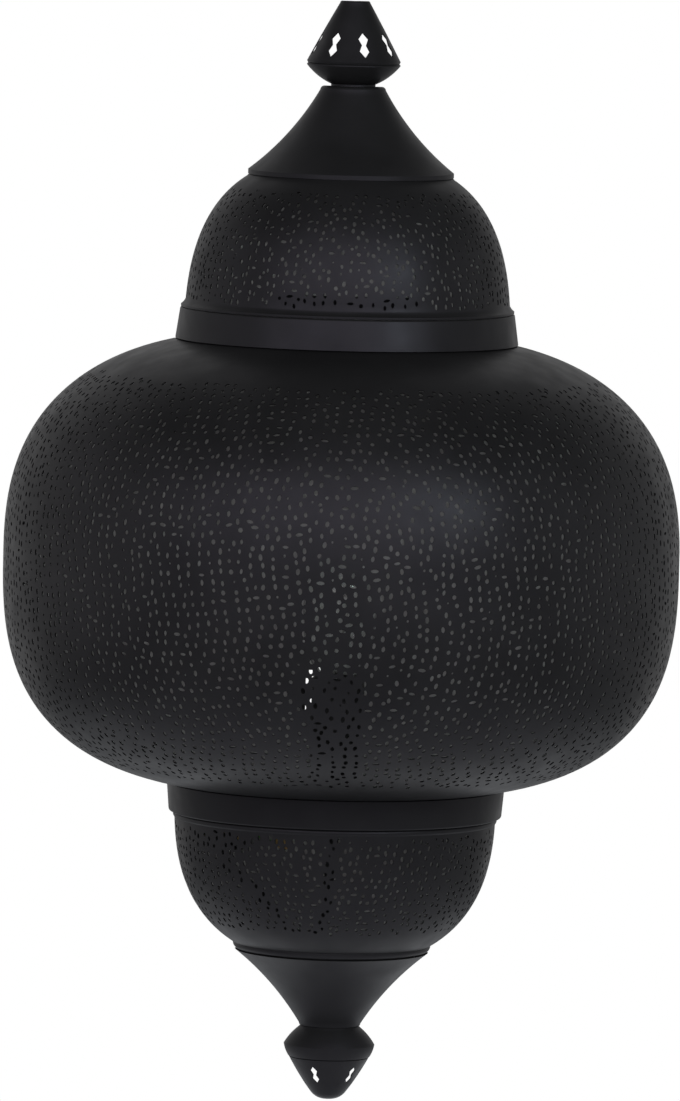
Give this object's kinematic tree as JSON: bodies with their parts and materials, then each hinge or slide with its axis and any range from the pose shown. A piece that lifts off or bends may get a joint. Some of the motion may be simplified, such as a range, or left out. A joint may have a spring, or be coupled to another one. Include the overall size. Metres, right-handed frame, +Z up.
{
  "type": "wall lamp",
  "caption": "Half-lantern wall lamp with a pierced black sheet-metal shade on a flat wall plate, with a candle bulb inside and pierced finials above and below.",
  "frame": {"origin": "on the wall plane, at the back plate's rear face, on the lamp's upright centre line and level with the widest part of the shade", "axes": "+Z up, -Y out of the wall towards the room, +X to the right as seen from the room"},
  "size_m": [0.3502, 0.1769, 0.5706],
  "materials": {
    "black_paint": "satin black paint",
    "zinc_plate": "zinc-plated sheet",
    "black_plastic": "moulded",
    "white_ceramic": "unglazed",
    "nickel": "nickel-plated",
    "zinc_steel": "zinc-plated",
    "brass": "turned",
    "black_rubber": "matt",
    "cord_black": "sheathed flex",
    "earth_green": "wire insulation",
    "clear_glass": "clear",
    "black_glass": "fired glass insulator",
    "tungsten": "filament"
  },
  "bodies": {
    "wall_unit": {"back_plate": "zinc_plate", "hanger_bracket": "black_paint", "hanger_screw_left": "zinc_steel", "hanger_screw_right": "zinc_steel", "lower_hook": "black_paint", "lower_hook_screw_left": "zinc_steel", "lower_hook_screw_right": "zinc_steel", "holder_bracket": "black_paint", "holder_screw_upper": "zinc_steel", "holder_screw_lower": "zinc_steel", "holder_shell": "black_plastic", "holder_cap": "black_plastic", "holder_core": "white_ceramic", "holder_sleeve": "nickel", "holder_contact": "nickel", "threaded_nipple": "zinc_steel", "nipple_washer": "zinc_steel", "nipple_nut": "zinc_steel", "cord_grip": "black_plastic", "lamp_flex": "cord_black", "terminal_block": "black_plastic", "terminal_screw_upper_1": "brass", "terminal_screw_upper_2": "brass", "terminal_screw_upper_3": "brass", "terminal_screw_lower_1": "brass", "terminal_screw_lower_2": "brass", "terminal_screw_lower_3": "brass", "earth_lug": "brass", "earth_screw": "brass", "earth_wire": "earth_green", "cable_slot_liner": "black_rubber"},
    "shade": {"body_shell": "black_paint", "upper_collar": "black_paint", "upper_dome": "black_paint", "upper_cone": "black_paint", "top_finial_cup": "black_paint", "top_finial_tip": "black_paint", "lower_collar": "black_paint", "lower_dome": "black_paint", "lower_cone": "black_paint", "bottom_finial_cup": "black_paint", "bottom_finial_tip": "black_paint", "upper_strap": "black_paint", "lower_strap": "black_paint", "rear_rim_left": "black_paint", "rear_rim_right": "black_paint"},
    "bulb": {"bulb_glass": "clear_glass", "bulb_cap": "nickel", "bulb_insulator": "black_glass", "bulb_contact": "nickel", "bulb_stem": "clear_glass", "bulb_filament": "tungsten"}
  },
  "joints": [
    {"name": "shade_lift", "type": "slide", "parent": "wall_unit", "child": "shade", "axis": [0, 0, 1], "range_m": [0, 0.008]},
    {"name": "bulb_turn", "type": "hinge", "parent": "wall_unit", "child": "bulb", "pos_m": [0, -0.062, -0.06], "axis": [0, 0, 1], "range_deg": [0, 1080]}
  ]
}
